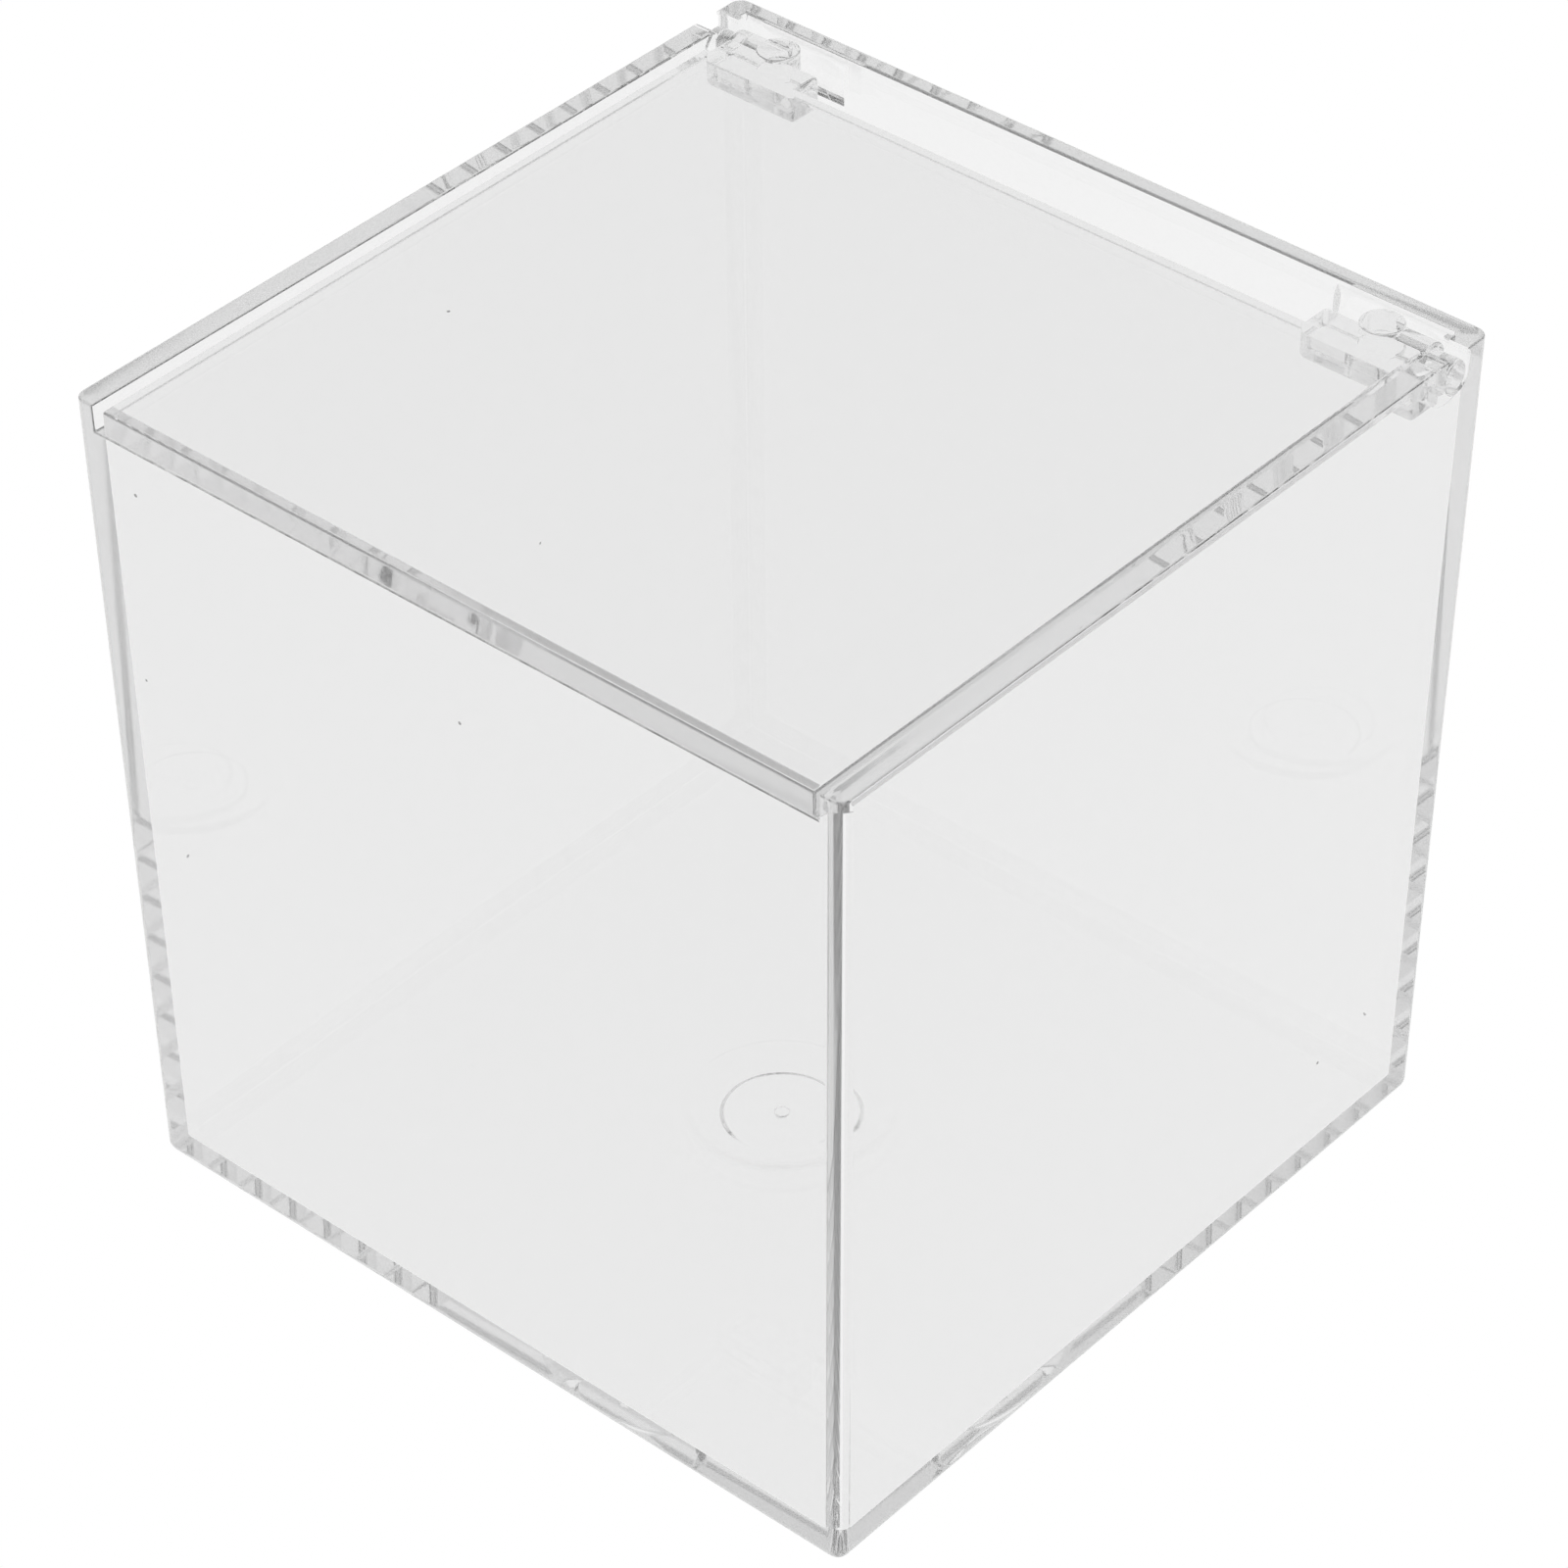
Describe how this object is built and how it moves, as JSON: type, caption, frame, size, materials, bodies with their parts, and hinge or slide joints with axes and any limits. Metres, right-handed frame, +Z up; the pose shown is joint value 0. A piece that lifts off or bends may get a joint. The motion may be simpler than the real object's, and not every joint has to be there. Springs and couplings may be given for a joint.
{
  "type": "hinged display cube",
  "caption": "Clear moulded display cube: drafted five-sided box with a lid that drops between the side walls and swings back on corner pivots.",
  "frame": {"origin": "middle of the underside", "axes": "+Z up, +X to the right along the front, +Y towards the hinge side at the back"},
  "size_m": [0.085, 0.085, 0.085],
  "materials": {
    "clear_box": "clear, polished",
    "clear_lid": "clear, polished",
    "clear_hinge": "clear, polished",
    "clear_pin": "clear, polished"
  },
  "bodies": {
    "box": {"box_shell": "clear_box"},
    "lid": {"lid_panel": "clear_lid", "hinge_block_left": "clear_hinge", "hinge_block_right": "clear_hinge", "hinge_pin_left": "clear_pin", "hinge_pin_right": "clear_pin"}
  },
  "joints": [
    {"name": "lid_hinge", "type": "hinge", "parent": "box", "child": "lid", "pos_m": [0, 0.0378, 0.0827], "axis": [-1, 0, 0], "range_deg": [0, 105]}
  ]
}
